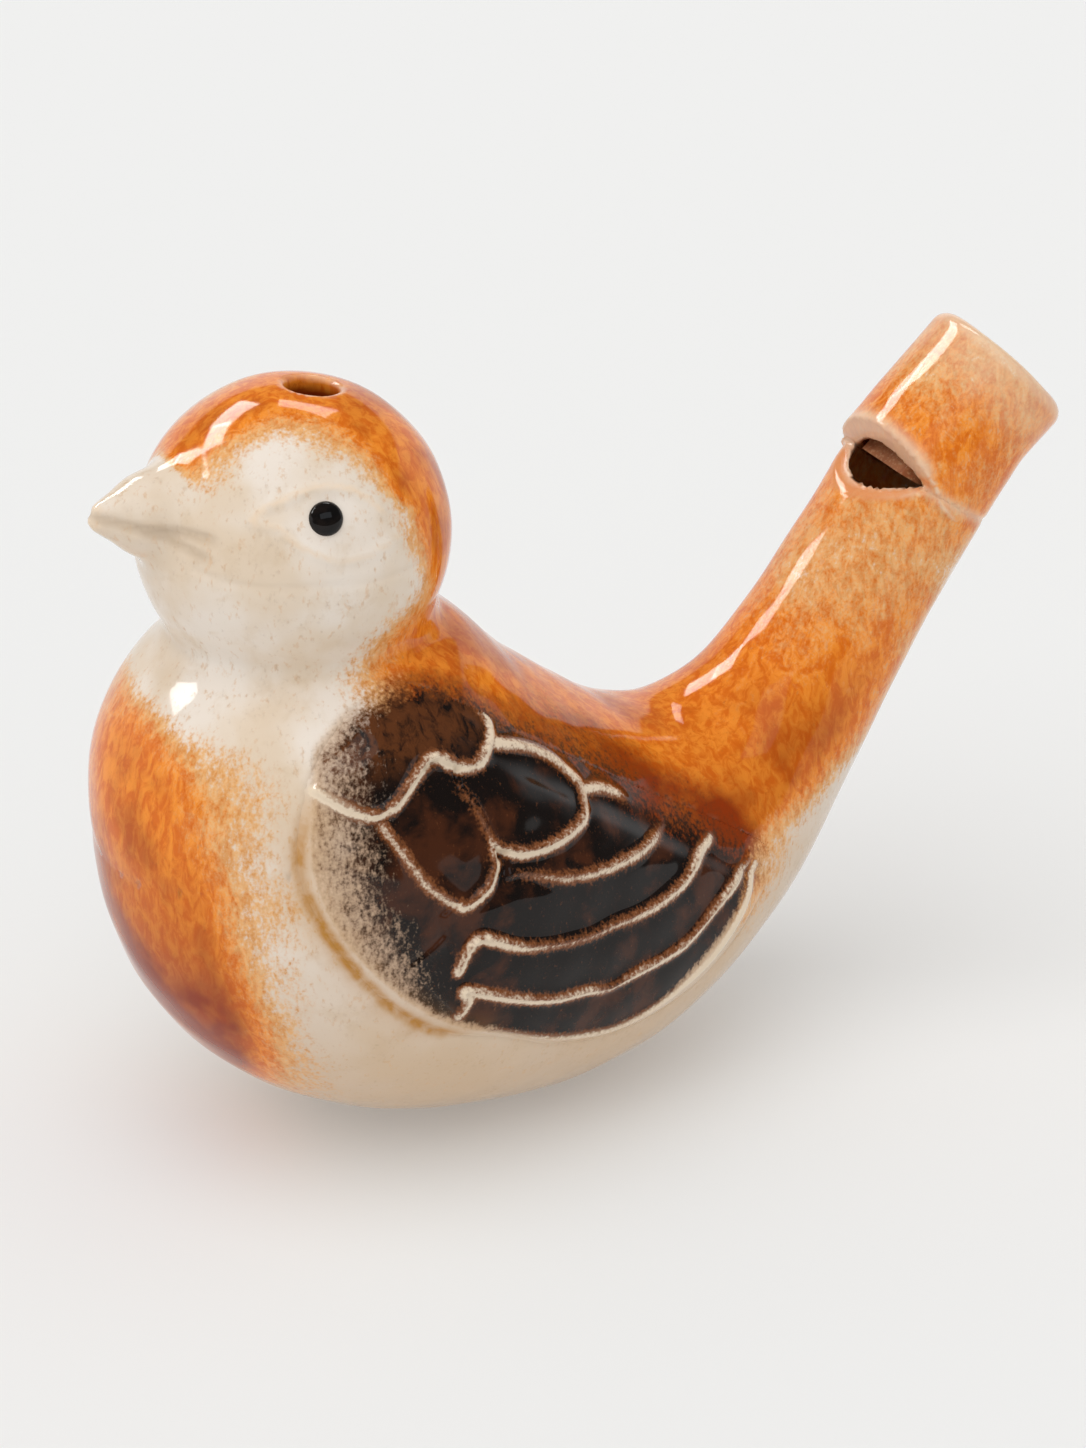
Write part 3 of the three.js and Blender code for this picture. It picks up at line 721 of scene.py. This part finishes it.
def glaze(name):
    """Clear gloss over sprayed colour, thin and pale on edges."""
    material, nodes = new_material(name)
    place = nodes.add("ShaderNodeTexCoord", {}, {}, output="Object")

    def noise(size, detail, stretch=(1, 1, 1), roughness=0.55, distortion=0.0):
        """Noise with features of the given size in millimetres."""
        mapped = nodes.add("ShaderNodeMapping", {}, {"Vector": place, "Scale": stretch})
        return nodes.add("ShaderNodeTexNoise", {}, {
            "Vector": mapped, "Scale": 1000 / size, "Detail": detail,
            "Roughness": roughness, "Distortion": distortion,
        })

    def mask(attribute):
        """The share that a point of the mesh carries under this name."""
        return nodes.add(
            "ShaderNodeAttribute", {"attribute_name": attribute}, {}, output="Fac"
        )

    orange, umber, ochre, ridge, thin, inner, ramp = map(
        mask, ("orange", "umber", "ochre", "ridge", "thin", "inner", "ramp"))
    cloud = noise(9, 3)
    blotch = noise(2.6, 4, distortion=0.4)
    fibre = noise(0.9, 4, stretch=(1, 1, 0.45), roughness=0.65, distortion=0.6)
    spray = noise(0.42, 2, stretch=(1, 1, 0.5))
    speck = noise(0.24, 1)
    grain = 0.5 * spray + 0.3 * speck + 0.2 * blotch - 0.5

    # Cream slip, darker in clouds; darker and warmer low on the belly, partly as painted shade;
    # painted shade along the mouth groove
    cream = nodes.blend(cloud.rise(0.35, 0.65), colour(238, 226, 213), colour(228, 208, 184))
    cream = nodes.blend(0.45 * blotch.rise(0.5, 0.75), cream, colour(216, 191, 160))
    above = nodes.add("ShaderNodeSeparateXYZ", {}, {0: place}, output="Z")
    # Painted shade, with a warmer slip tone: the cream darkens towards the bottom of the belly
    cream = nodes.blend(0.8 * above.rise(0.034, 0.006), cream, colour(210, 180, 146))
    # Painted shade: the cream is darkened along the mouth groove
    cream = nodes.blend(0.5 * mask("mouth_groove_shade"), cream, colour(184, 158, 128))

    # Sprayed orange: rust where it lies thick and, as painted shade, low on the body; tan where it
    # thins out, worn in small spots
    bright = nodes.blend(fibre.rise(0.36, 0.64), colour(222, 110, 22), colour(246, 148, 48))
    # Painted shade: besides thick spray, clouds and the umber's edge, the rust deepens below 36 mm
    rust_depth_and_low_shade = orange.rise(0.7, 1.0) * (0.5 * cloud.rise(0.42, 0.62) + 0.9 * above.rise(0.036, 0.012))
    rust_depth_and_low_shade = rust_depth_and_low_shade + 0.6 * umber.rise(0.0, 0.3)
    rust = nodes.blend(0.9 * rust_depth_and_low_shade, bright, colour(146, 52, 6))
    amount = (orange + grain + 0.7 * (cloud - 0.5)).rise(0.12, 0.9)
    tan = nodes.blend(fibre.rise(0.35, 0.65), colour(222, 158, 94), colour(238, 184, 124))
    shade = nodes.blend(amount.rise(0.0, 0.5), cream, tan)
    shade = nodes.blend(amount.rise(0.4, 1.0), shade, rust)
    worn = (0.5 * fibre + 0.5 * spray).rise(0.55, 0.66) * orange.rise(0.95, 0.6)
    shade = nodes.blend(0.5 * worn, shade, colour(222, 184, 144))

    # Sprayed umber: a beige haze at its edge, then brown, then near black with warmer patches
    fringe = 0.6 * umber.rise(0.0, 0.25) * (1 - orange.rise(0.2, 0.6))
    shade = nodes.blend(fringe, shade, colour(212, 178, 142))
    haze = nodes.blend(orange.rise(0.3, 0.8), colour(124, 86, 60), colour(104, 54, 22))
    shade = nodes.blend(0.62 * (umber + 1.2 * grain).rise(0.02, 0.6), shade, haze)
    patches = (0.5 * cloud + 0.5 * blotch).rise(0.46, 0.62)
    dark = nodes.blend(patches, colour(20, 13, 10), colour(70, 36, 19))
    dark = nodes.blend(umber.rise(0.75, 0.35), dark, colour(62, 41, 29))
    shoulder = above.rise(0.0385, 0.0415) * fibre.rise(0.3, 0.6)
    dark = nodes.blend(0.85 * shoulder, dark, colour(100, 56, 28))
    shade = nodes.blend((1.4 * umber + 2.3 * grain).rise(0.5, 1.05), shade, dark)

    # Ochre in the groove, cream on the ribs, the cut ramp, thin edges and the inside, a dark rust
    # that is partly painted shade
    pooled = ochre * (0.6 + 0.4 * blotch.rise(0.35, 0.6))
    shade = nodes.blend(pooled, shade, colour(188, 130, 48))
    rough_ridge = ridge + 0.4 * (speck - 0.5) + 0.4 * (spray - 0.5)
    shade = nodes.blend(
        rough_ridge.rise(0.06, 0.36) * umber.rise(0.3, 0.7), shade, colour(134, 80, 46))
    shade = nodes.blend(rough_ridge.rise(0.3, 0.62), shade, colour(236, 216, 190))
    shade = nodes.blend(0.8 * ramp, shade, colour(224, 150, 100))
    shade = nodes.blend(0.75 * thin, shade, colour(240, 216, 188))
    # Painted shade in the hole, the window and other recesses: the inside is darkened beyond its
    # own rust glaze
    shade = nodes.blend(inner, shade, colour(132, 46, 8))

    # The surface itself: slow ripples, and lumps where the umber lies thick
    ripple = noise(3.2, 2)
    height = 0.13 * ripple + 2.2 * umber.rise(0.5, 0.9) * noise(5.5, 1, distortion=1.0)
    bump = nodes.add(
        "ShaderNodeBump", {}, {"Strength": 1.0, "Distance": 0.0002, "Height": height})
    nodes.surface({
        "Base Color": shade, "Roughness": 0.5, "Specular IOR Level": 0.0,
        "Coat Weight": 1.0, "Coat Roughness": 0.08, "Coat IOR": 1.33, "Normal": bump})
    return material


body_balls = rounded_path(body_path, 30)
# On the tail a running mean smooths the small changes of bend at the given places
given_balls = body_balls
mean_reach = 7
mean_window = np.ones(2 * mean_reach + 1) / (2 * mean_reach + 1)
for _ in range(2):
    before = 2 * body_balls[0] - body_balls[mean_reach:0:-1]
    after = 2 * body_balls[-1] - body_balls[-2:-2 - mean_reach:-1]
    longer = np.vstack([before, body_balls, after])
    body_balls = np.stack([np.convolve(column, mean_window, "valid") for column in longer.T], 1)
body_balls = given_balls + smooth(given_balls[:, :1], 16, 24) * (body_balls - given_balls)
body_overlap = 0.1


def past_body(points):
    """How far points lie past the body's end, which reaches a little into the mouthpiece."""
    return tail_place(points)[0] - joint_at - body_overlap


body_points, body_faces, body_normals = skin(
    lambda p: soft_max(clay_gap(p), past_body(p), 0.02),
    lambda p: np.maximum(clay_gap(p, False), past_body(p)),
    spaced([(-37.2, 0.42), (-12.6, 0.72), (34.5, 0.36), (48.8, 0.5)]),
    spaced([(-22.2, 0.72), (-12.6, 0.48), (12.6, 0.72), (22.2, 0.7)]),
    spaced([(-0.7, 0.72), (40.6, 0.4), (68.2, 0.4)]),
)
body = make_piece("glazed_body", body_points, body_faces, body_normals, paint_masks(body_points))
body.data.materials.append(glaze("body_glaze"))
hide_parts("body_left_half", "body_right_half")
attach(body, "root")


# Mouthpiece
# A glazed earthenware tube, luted to the tail's end at a flatter angle, with a rounded rim for the
# lips. Its lower end is the window's upper lip.
tube_overlap, tube_sunk = 0.4, 0.06


def tube_gap_at(points, fine=True):
    """How far points lie outside the mouthpiece; its lowest strip lies under the body's skin."""
    below = joint_at - tail_place(points)[0]
    sunk = tube_sunk * smooth(below, -0.25, -0.1)
    return soft_max(clay_gap(points, fine) + sunk, below - tube_overlap, 0.02)


tube_points, tube_faces, tube_normals = skin(
    tube_gap_at, lambda p: tube_gap_at(p, False),
    spaced([(34.0, 0.35), (55.5, 0.4)]),
    spaced([(-8.0, 0.35), (8.0, 0.4)]),
    spaced([(41.0, 0.35), (63.5, 0.4)]),
)
mouthpiece = make_piece(
    "glazed_mouthpiece", tube_points, tube_faces, tube_normals, paint_masks(tube_points))
mouthpiece.data.materials.append(glaze("mouthpiece_glaze"))
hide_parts("mouthpiece")
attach(mouthpiece, "root")


# Wings
# Feathers in low relief, moulded apart in the same clay and stuck on each flank with slip.
# Dark glaze pools in the panels and breaks to cream on the ribs, laid along drawn paths.
wing_step = 0.17
wing_x = np.arange(-26.6, 21.9, wing_step)
wing_z = np.arange(9.0, 46.4, wing_step)
wing_grid = np.stack(np.meshgrid(wing_x, wing_z, indexing="ij"), -1).reshape(-1, 2)

# Ribs along the feather edges: x, z, share of cream and share of height
ribs = {
    "shoulder": [[-23.7, 39.2, 0.9, 0.6], [-21.4, 37.7, 1, 0.9], [-19.4, 36.9, 1, 1],
        [-17.6, 37.4, 1, 1], [-16, 38.7, 1, 1], [-14.4, 39.9, 1, 1], [-13.2, 39.9, 1, 1],
        [-11.3, 38.7, 1, 1], [-9.4, 38.4, 1, 1], [-7.6, 39.3, 1, 1], [-7.2, 40.6, 0.7, 0.6],
        [-8.6, 42.5, 0.1, 0.3]],
    "scallops": [[-6.9, 38.9, 1, 0.8], [-4.5, 37.8, 0.8, 0.8], [-1.7, 36, 0.8, 0.8],
        [0, 34.3, 0.8, 0.8], [1.1, 32.8, 0.85, 0.9], [0.9, 31.8, 1, 1], [0, 30.8, 1, 1],
        [-2.1, 30.5, 1, 1], [-4.5, 30.5, 1, 1], [-7.1, 31, 1, 1], [-9.2, 32, 1, 1],
        [-9.6, 31.8, 1, 1], [-9.6, 30.8, 1, 1], [-10.5, 29.4, 1, 1], [-11.4, 28.9, 1, 1],
        [-13, 28.4, 0.9, 0.9], [-14.8, 29.7, 0.6, 0.7], [-16.2, 31.2, 0.6, 0.7],
        [-17.6, 33.7, 0.55, 0.7], [-18.9, 36, 0.5, 0.5]],
    "divide": [[-11.7, 37.3, 0.2, 0.2], [-10.8, 35.7, 0.25, 0.4], [-10, 33.6, 0.3, 0.4],
        [-9.6, 32.5, 0.6, 0.6]],
    "top": [[1.3, 32.5, 0.8, 0.6], [3.1, 31.9, 0.7, 0.6], [5, 30.7, 0.6, 0.5],
        [6.1, 29.7, 0.1, 0.2]],
    "third": [[-8.7, 29.5, 0.1, 0.3], [-7.1, 29.3, 0.3, 0.5], [-3.4, 27.7, 0.6, 0.8],
        [-0.5, 26.9, 0.7, 0.9], [2.4, 26.4, 0.8, 0.9], [5.5, 26.2, 0.8, 0.9], [7.9, 26.3, 0.6, 0.7],
        [9.6, 26.7, 0.1, 0.2]],
    "second": [[-13.7, 22.8, 0.8, 0.8], [-12.9, 24.6, 1, 1], [-11.8, 25.3, 1, 1],
        [-10.4, 24.8, 1, 1], [-8, 23.5, 0.8, 0.9], [-4.5, 22.5, 0.5, 0.8], [-1.2, 21.9, 0.5, 0.8],
        [1.6, 21.8, 0.55, 0.8], [6.1, 21.5, 0.8, 0.9], [9.8, 22, 1, 1], [11.5, 22.8, 1, 1],
        [13.9, 23.9, 0.8, 0.7], [14.6, 24.1, 0.2, 0.2]],
    "lowest": [[-13.5, 18.4, 0.7, 0.6], [-12.8, 19.8, 1, 1], [-13.1, 20.9, 1, 1],
        [-10.4, 19.7, 1, 1], [-7.8, 18.5, 1, 1], [-4.4, 17.3, 1, 1], [-1.1, 16.8, 1, 1],
        [1.3, 16.2, 0.7, 1], [4.4, 16.5, 1, 1], [9.4, 16.8, 1, 1], [13.1, 18.4, 1, 1],
        [16, 19.7, 1, 0.9], [18.3, 20.8, 0.4, 0.4]],
    "hem": [[-10, 16, 0.3, 0.2], [-4.6, 13.2, 0.5, 0.3], [1, 11.5, 0.6, 0.4],
        [4.5, 11.4, 0.6, 0.4], [9, 12.4, 0.8, 0.5], [13.5, 14.3, 1, 0.6], [16.8, 17.2, 1, 0.7],
        [18.9, 20.2, 0.6, 0.5]],
}


def rib_line(name):
    """The x and z of a rib's points."""
    return [row[:2] for row in ribs[name]]


# Feather outlines from the lowest to the topmost: ribs, and the points that close them
feathers = [
    rib_line("lowest") + [[19, 24], [14, 27], [-12, 28], [-18, 24]],
    rib_line("second") + [[13, 27], [9, 30], [-9, 31], [-15, 28]],
    rib_line("third") + [[9, 30], [5, 33], [0, 35], [-8, 34]],
    rib_line("top") + [[8, 31], [4, 35], [-2, 37]],
    rib_line("divide")[:3] + [[-9.5, 32.4]] + rib_line("scallops")[12:] + [[-17, 39], [-12, 40]],
    [[-6.9, 38.8]] + rib_line("scallops")[1:11] + rib_line("divide")[::-1] + [[-11, 40]],
    [[-20.5, 45.5], [-14.4, 46.3], [-11.4, 44.4], [-9.2, 42.7], [-7.6, 40.6], [-7, 39.1],
     [-7.6, 39]] + rib_line("shoulder")[8::-1],
]
wing_split = 27.5  # between the outline's lower front and its upper back, across the wing
outline_rise = 0.58 * wing_outline[:, 0] + 0.81 * wing_outline[:, 1]
front_bottom = wing_outline[outline_rise < wing_split]
back_top = wing_outline[outline_rise >= wing_split]

# A panel sinks behind its rib and swells inside it, and the feather below ducks under its edge
panel_sink, panel_swell, panel_duck = 0.2, 0.22, 0.36
ledge_height, ledge_groove, wing_lift, wing_sunk = 0.5, 0.16, 0.03, 0.9
flank_least, flank_most = 2.0, 22.5  # half widths between which the flank is sought


def on_flank(places):
    """Points of the left flank, and the outward direction there, at places given as x and z."""
    points = np.stack([places[:, 0], np.zeros(len(places)), places[:, 1]], 1)
    low, high = np.full(len(places), flank_least), np.full(len(places), flank_most)
    for _ in range(16):
        points[:, 1] = -(low + high) / 2
        clay = outer_gap(points, True) < 0
        low = np.where(clay, -points[:, 1], low)
        high = np.where(clay, high, -points[:, 1])
    slope = gradient(lambda p: outer_gap(p, True), points)
    return points, slope / np.linalg.norm(slope, axis=1, keepdims=True)


def relief(places):
    """How far the wing stands off the flank before the ribs are added."""
    inside = inside_distance(places, wing_outline)
    front = polyline_distance(places, front_bottom)
    back_side = polyline_distance(places, back_top)
    height = np.zeros(len(places))
    for outline in feathers:
        depth = inside_distance(places, np.array(outline, float))
        sink = panel_sink * (1 - np.exp(-np.maximum(depth, 0) / 0.8))
        within = panel_swell * smooth(depth, 0.6, 4.0) - sink
        below = height - panel_duck * np.exp(np.minimum(depth, 0) / 1.2)
        share = smooth(depth, -0.2, 0.2)
        height = within * share + below * (1 - share)
    fade = smooth(back_side, 0.6, 5.0)
    ledge = ledge_height * smooth(front, 0.0, 1.6) - ledge_groove * np.exp(-(front / 0.5) ** 2)
    return wing_lift + (ledge + height * smooth(inside, 0, 0.8)) * fade


wing_inside = inside_distance(wing_grid, wing_outline).reshape(len(wing_x), len(wing_z))
kept_corner = wing_inside > 0
halves = (slice(0, -1), slice(1, None))
corners = [(rows, columns) for rows in halves for columns in halves]
kept_cell = np.all([kept_corner[corner] for corner in corners], axis=0)
kept = np.zeros_like(kept_corner)
for corner in corners:
    kept[corner] |= kept_cell
wing_number = np.full(kept.shape, -1)
wing_number[kept] = np.arange(kept.sum())
wing_places = wing_grid[kept.ravel()]
flank, outward = on_flank(wing_places)
wing_top = flank + outward * relief(wing_places)[:, None]
wing_under = flank - outward * wing_sunk
i, j = np.nonzero(kept_cell)
upper_faces = np.stack([
    wing_number[i, j], wing_number[i + 1, j], wing_number[i + 1, j + 1], wing_number[i, j + 1]], 1)
under_faces = upper_faces[:, ::-1] + len(wing_top)
sides = dict.fromkeys(
    (a, b) for face in upper_faces.tolist() for a, b in zip(face, face[1:] + face[:1]))
rim_edges = np.array([(a, b) for a, b in sides if (b, a) not in sides])
rim_from, rim_to = rim_edges.T
rim_faces = np.stack([rim_to, rim_from, rim_from + len(wing_top), rim_to + len(wing_top)], 1)
wing_points = np.vstack([wing_top, wing_under])
wing_faces = np.vstack([upper_faces, under_faces, rim_faces])
rib_points, rib_edges, rib_cream, rib_rise = [], [], [], []
for rib in ribs.values():
    path = rounded_path(np.array(rib, float), 12)
    first = len(rib_points)
    spots, normals_there = on_flank(path[:, :2])
    spots = spots + normals_there * relief(path[:, :2])[:, None]
    rib_points += spots.tolist()
    rib_edges += [(first + n, first + n + 1) for n in range(len(path) - 1)]
    rib_cream += path[:, 2].tolist()
    rib_rise += path[:, 3].tolist()


def rib_tree():
    """Raises ribs along the drawn paths and marks where the glaze breaks to cream on them."""
    tree = bpy.data.node_groups.new("feather_ribs", "GeometryNodeTree")
    for name, kind in (
            ("Wing", "Geometry"), ("Rib Paths", "Object"), ("Rib Height", "Float"),
            ("Rib Width", "Float"), ("Finish", "Material")):
        tree.interface.new_socket(name, in_out="INPUT", socket_type="NodeSocket" + kind)
    tree.interface.new_socket("Wing", in_out="OUTPUT", socket_type="NodeSocketGeometry")
    nodes = Nodes(tree)
    entry = nodes.add("NodeGroupInput", {}, {})
    given = {o.name: Value(nodes, o) for o in entry.socket.node.outputs if o.name}
    paths = nodes.add(
        "GeometryNodeObjectInfo", {"transform_space": "RELATIVE"}, {"Object": given["Rib Paths"]},
        output="Geometry")
    away = nodes.add(
        "GeometryNodeProximity", {"target_element": "EDGES"}, {0: paths}, output="Distance")
    nearest = nodes.add("GeometryNodeSampleNearest", {"domain": "POINT"}, {0: paths})

    def named(name, kind="FLOAT"):
        """The value that a point itself carries."""
        return nodes.add("GeometryNodeInputNamedAttribute", {"data_type": kind}, {"Name": name})

    def carried(name):
        """The value that the nearest point of the paths carries."""
        return nodes.add(
            "GeometryNodeSampleIndex", {"data_type": "FLOAT", "domain": "POINT"},
            {0: paths, "Value": named(name), "Index": nearest})

    profile = (-1.0 * (away / given["Rib Width"]) ** 2.0).exp()
    height = profile * given["Rib Height"] * carried("rise") * named("upper")
    offset = nodes.add(
        "ShaderNodeVectorMath", {"operation": "SCALE"},
        {0: named("outward", "FLOAT_VECTOR"), "Scale": height})
    raised = nodes.add(
        "GeometryNodeSetPosition", {}, {"Geometry": given["Wing"], "Offset": offset})
    marked = nodes.add(
        "GeometryNodeStoreNamedAttribute", {"data_type": "FLOAT", "domain": "POINT"},
        {"Geometry": raised, "Name": "ridge", "Value": profile * carried("cream")})
    whole = nodes.add("GeometryNodeRealizeInstances", {}, {"Geometry": marked})
    finished = nodes.add(
        "GeometryNodeSetMaterial", {}, {"Geometry": whole, "Material": given["Finish"]})
    nodes.add("NodeGroupOutput", {}, {0: finished})
    return tree


feather_ribs = rib_tree()
wing_glaze = glaze("wing_glaze")
rib_height, rib_width = 0.0004, 0.00055  # in metres
bare = np.zeros(len(wing_under))
wing_masks = {
    "orange": np.tile(orange_spray(flank), 2),
    "umber": np.append(umber_spray(flank), bare),
    "ochre": np.append(ochre_stain(flank), bare),
    "upper": np.append(bare + 1, bare),
}
rim_keys = {frozenset(edge) for edge in rim_edges.tolist()}
for side, name, node_name in (
        (1, "glazed_wing_left", "wing_left"), (-1, "glazed_wing_right", "wing_right")):
    mirror = np.array([1, side, 1])
    raw = make_piece(name, wing_points * mirror, wing_faces[:, ::side], None, wing_masks)
    away = raw.data.attributes.new("outward", "FLOAT_VECTOR", "POINT")
    away.data.foreach_set(
        "vector", (np.tile(outward, (2, 1)) * mirror).astype(np.float32).ravel())
    sharp = raw.data.attributes.new("sharp_edge", "BOOLEAN", "EDGE")
    ends = np.zeros(len(raw.data.edges) * 2, int)
    raw.data.edges.foreach_get("vertices", ends)
    sharp.data.foreach_set(
        "value", [frozenset(edge) in rim_keys for edge in ends.reshape(-1, 2).tolist()])
    path_mesh = bpy.data.meshes.new("rib_paths")
    path_mesh.from_pydata((np.array(rib_points) * mirror / 1000).tolist(), rib_edges, [])
    carry(path_mesh, {"rise": rib_rise, "cream": rib_cream})
    paths = new_object("rib_paths", path_mesh)
    modifier = raw.modifiers.new("ribs", "NODES")
    modifier.node_group = feather_ribs
    given = {
        "Rib Paths": paths, "Rib Height": rib_height, "Rib Width": rib_width, "Finish": wing_glaze}
    for item in feather_ribs.interface.items_tree:
        if item.in_out == "INPUT" and item.name in given:
            modifier[item.identifier] = given[item.name]
    shown = bpy.context.evaluated_depsgraph_get()
    finished_mesh = bpy.data.meshes.new_from_object(raw.evaluated_get(shown))
    raw.modifiers.clear()
    raw.data = finished_mesh
    bpy.data.objects.remove(paths)
    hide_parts(node_name)
    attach(raw, "root")


# Eyes
# Small beads of black-glazed clay, pressed into a shallow socket on each side of the head.
eye_radius, eye_height, eye_rings, eye_sides = 1.38, 0.8, 20, 40
eye_from_centre = 12.5  # of the head
eye_middle = head_centre + eye_toward * eye_from_centre
eye_side = np.cross(eye_toward, [0, 0, 1])
eye_side /= np.linalg.norm(eye_side)
eye_other = np.cross(eye_toward, eye_side)
lean = math.pi * np.arange(1, eye_rings)[:, None, None] / eye_rings
turn = 2 * math.pi * np.arange(eye_sides)[:, None] / eye_sides
spread = np.cos(turn) * eye_side + np.sin(turn) * eye_other
rings = eye_middle + eye_radius * np.sin(lean) * spread + eye_height * np.cos(lean) * eye_toward
top, bottom = eye_middle + np.outer((eye_height, -eye_height), eye_toward)
eye_points = np.vstack([top, rings.reshape(-1, 3), bottom])
here = 1 + np.arange(len(eye_points) - 2).reshape(-1, eye_sides)
after = np.roll(here, -1, axis=1)
first, last = np.zeros_like(here[:1]), np.full_like(here[:1], len(eye_points) - 1)
eye_faces = np.vstack([np.stack(corner, -1).reshape(-1, 3) for corner in (
    (first, here[:1], after[:1]), (here[:-1], here[1:], after[1:]),
    (here[:-1], after[1:], after[:-1]), (last, after[-1:], here[-1:]))])
eye_black, nodes = new_material("eye_glaze")
place = nodes.add("ShaderNodeTexCoord", {}, {}, output="Object")
cloudy = nodes.add("ShaderNodeTexNoise", {}, {"Vector": place, "Scale": 900, "Detail": 2.0})
black = nodes.blend(cloudy.rise(0.4, 0.7), colour(12, 10, 9), colour(24, 18, 15))
nodes.surface({
    "Base Color": black, "Roughness": 0.4, "Specular IOR Level": 0.0, "Coat Weight": 1.0,
    "Coat Roughness": 0.04, "Coat IOR": 1.33})
for side, name, node_name in (
        (1, "eye_bead_left", "eye_left"), (-1, "eye_bead_right", "eye_right")):
    mirror = np.array([1, side, 1])
    eye = make_piece(name, eye_points * mirror, eye_faces[:, ::side], None, {})
    eye.data.materials.append(eye_black)
    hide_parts(node_name)
    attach(eye, "root")


# Windway block
# The clay plug that leaves only a flat slot of the tube open; it was left without glaze.
block = next(o for o in bpy.data.objects if o.name.startswith("windway_block"))
clay, nodes = new_material("bare_clay")
place = nodes.add("ShaderNodeTexCoord", {}, {}, output="Object")
coarse = nodes.add("ShaderNodeTexNoise", {}, {"Vector": place, "Scale": 400, "Detail": 4.0})
fine = nodes.add("ShaderNodeTexNoise", {}, {"Vector": place, "Scale": 3500, "Detail": 2.0})
fired = nodes.blend(coarse.rise(0.35, 0.65), colour(176, 112, 70), colour(146, 82, 46))
fired = nodes.blend(0.5 * fine.rise(0.5, 0.7), fired, colour(206, 158, 116))
grit = nodes.add("ShaderNodeBump", {}, {"Strength": 0.4, "Distance": 0.0001, "Height": fine})
nodes.surface({
    "Base Color": fired, "Roughness": 0.85, "Specular IOR Level": 0.3, "Normal": grit})
for spot in block.material_slots:
    spot.material = clay
